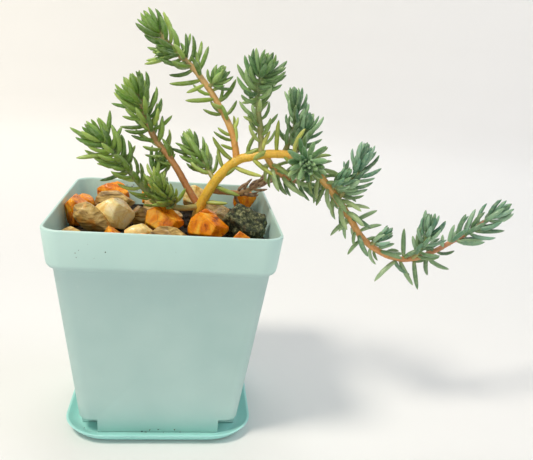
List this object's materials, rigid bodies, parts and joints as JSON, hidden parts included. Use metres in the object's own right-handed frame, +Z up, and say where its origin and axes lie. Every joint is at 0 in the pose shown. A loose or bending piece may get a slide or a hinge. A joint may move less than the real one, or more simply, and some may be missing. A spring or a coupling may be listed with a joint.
{
  "type": "potted stonecrop",
  "caption": "Trailing stonecrop with needle leaves in a square mint plastic pot on a matching saucer, top-dressed with amber, cream and dark stones.",
  "frame": {"origin": "centre of the saucer's underside", "axes": "+Z up, +X the way the trailing shoot reaches, -Y the front"},
  "size_m": [0.2137, 0.1, 0.1911],
  "materials": {
    "mint_plastic": "satin",
    "potting_mix": "matte",
    "amber_stone": "gloss",
    "cream_stone": "satin",
    "tan_stone": "satin",
    "dark_stone": "matte",
    "foliage": "satin",
    "woody_stem": "satin"
  },
  "bodies": {
    "root": {"pot": "mint_plastic", "saucer": "mint_plastic", "potting_mix": "potting_mix", "stone_slab_left": "tan_stone", "stone_amber_left": "amber_stone", "stone_cream_quartz": "cream_stone", "stone_amber_centre": "amber_stone", "stone_amber_by_stem": "amber_stone", "stone_amber_front": "amber_stone", "stone_dark_rock": "dark_stone", "stone_amber_chip": "amber_stone", "stone_flat_front": "cream_stone", "stone_pale_front": "tan_stone", "stone_pale_small": "cream_stone", "stone_amber_small": "amber_stone", "stone_cream_corner": "tan_stone", "stone_brown_centre": "tan_stone", "stone_brown_front": "amber_stone", "stone_amber_behind": "tan_stone", "stone_tan_corner": "tan_stone", "stone_amber_back": "amber_stone", "stone_tan_back": "tan_stone", "stone_brown_back": "amber_stone", "stone_amber_leaning": "amber_stone", "stone_amber_right": "amber_stone", "stone_pale_back": "cream_stone", "stone_tan_right": "tan_stone", "stone_cream_right": "tan_stone", "stone_tan_middle": "tan_stone", "stone_brown_right": "tan_stone", "main_stem": "woody_stem", "trailing_shoot": "foliage", "upper_shoot": "foliage", "upper_side_shoot_left": "foliage", "upper_side_shoot_right": "foliage", "crown_shoot": "foliage", "back_shoot": "foliage", "middle_shoot": "foliage", "facing_shoot": "foliage", "right_shoot": "foliage", "right_side_shoot": "foliage", "trailing_bud": "foliage", "trailing_side_shoot": "foliage", "left_tall_shoot": "foliage", "left_low_shoot": "foliage", "left_short_shoot": "foliage", "ground_shoot": "foliage", "inner_shoot": "foliage", "withered_shoot": "foliage", "under_shoot": "foliage"}
  },
  "joints": []
}
